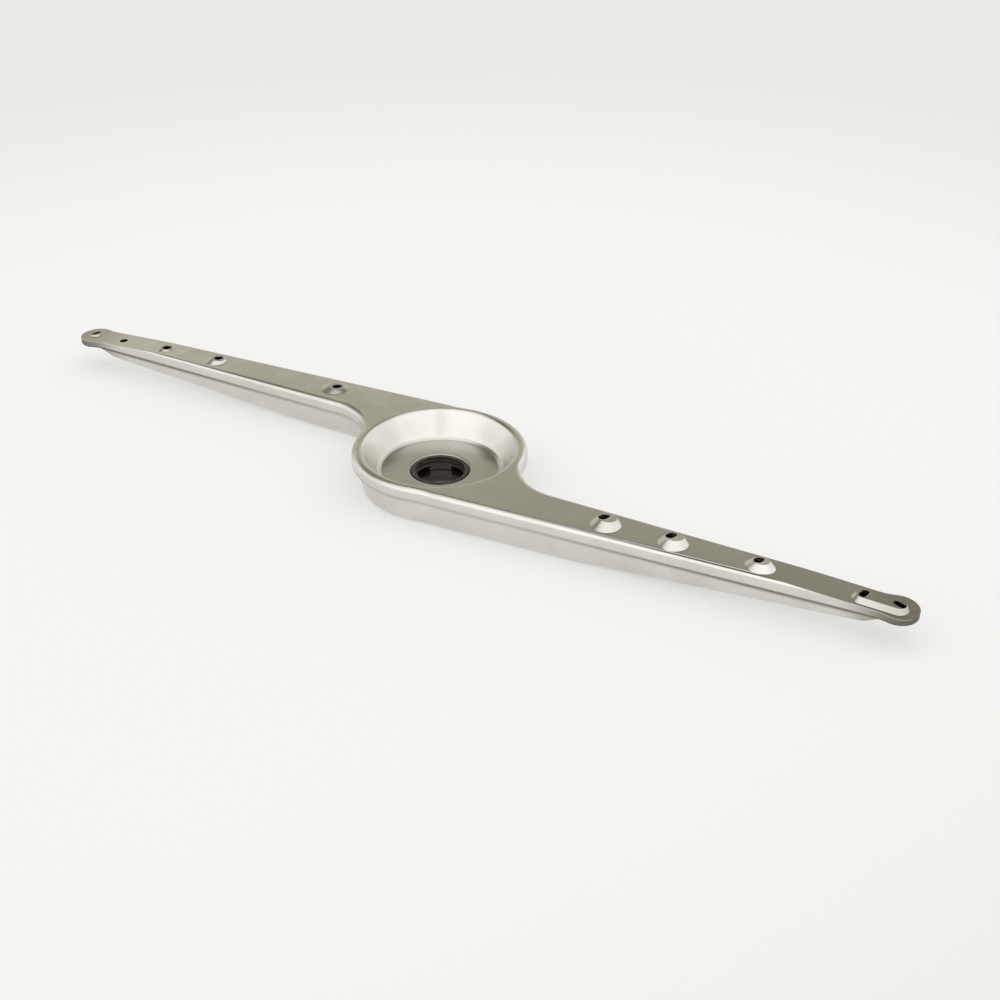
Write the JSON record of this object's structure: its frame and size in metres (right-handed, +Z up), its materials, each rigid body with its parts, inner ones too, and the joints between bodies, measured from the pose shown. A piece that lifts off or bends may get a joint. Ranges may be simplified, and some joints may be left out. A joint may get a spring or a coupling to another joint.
{
  "type": "dishwasher spray arm",
  "caption": "S-shaped pressed steel spray arm with a dished round hub, raised nozzles along tapered arms and a captive threaded bearing that it spins on.",
  "frame": {"origin": "on the hub axis, at the flat underside of the hub that the arm rests on", "axes": "+Z up along the spin axis, +X along the arm whose nozzles are the more raised, +Y to complete a right-handed frame"},
  "size_m": [0.46, 0.081, 0.0228],
  "materials": {
    "satin_steel": "satin stainless sheet, lightly scuffed along the arm",
    "polished_steel": "bright drawn stainless sheet",
    "dark_plastic": "dark grey glass-filled plastic, moulded"
  },
  "bodies": {
    "arm": {"upper_shell": "satin_steel", "lower_shell": "polished_steel"},
    "bearing": {"feed_bearing": "dark_plastic"}
  },
  "joints": [
    {"name": "arm_spin", "type": "hinge", "parent": "arm", "child": "bearing", "pos_m": [0, 0, 0.0052], "axis": [0, 0, 1], "continuous": true}
  ]
}
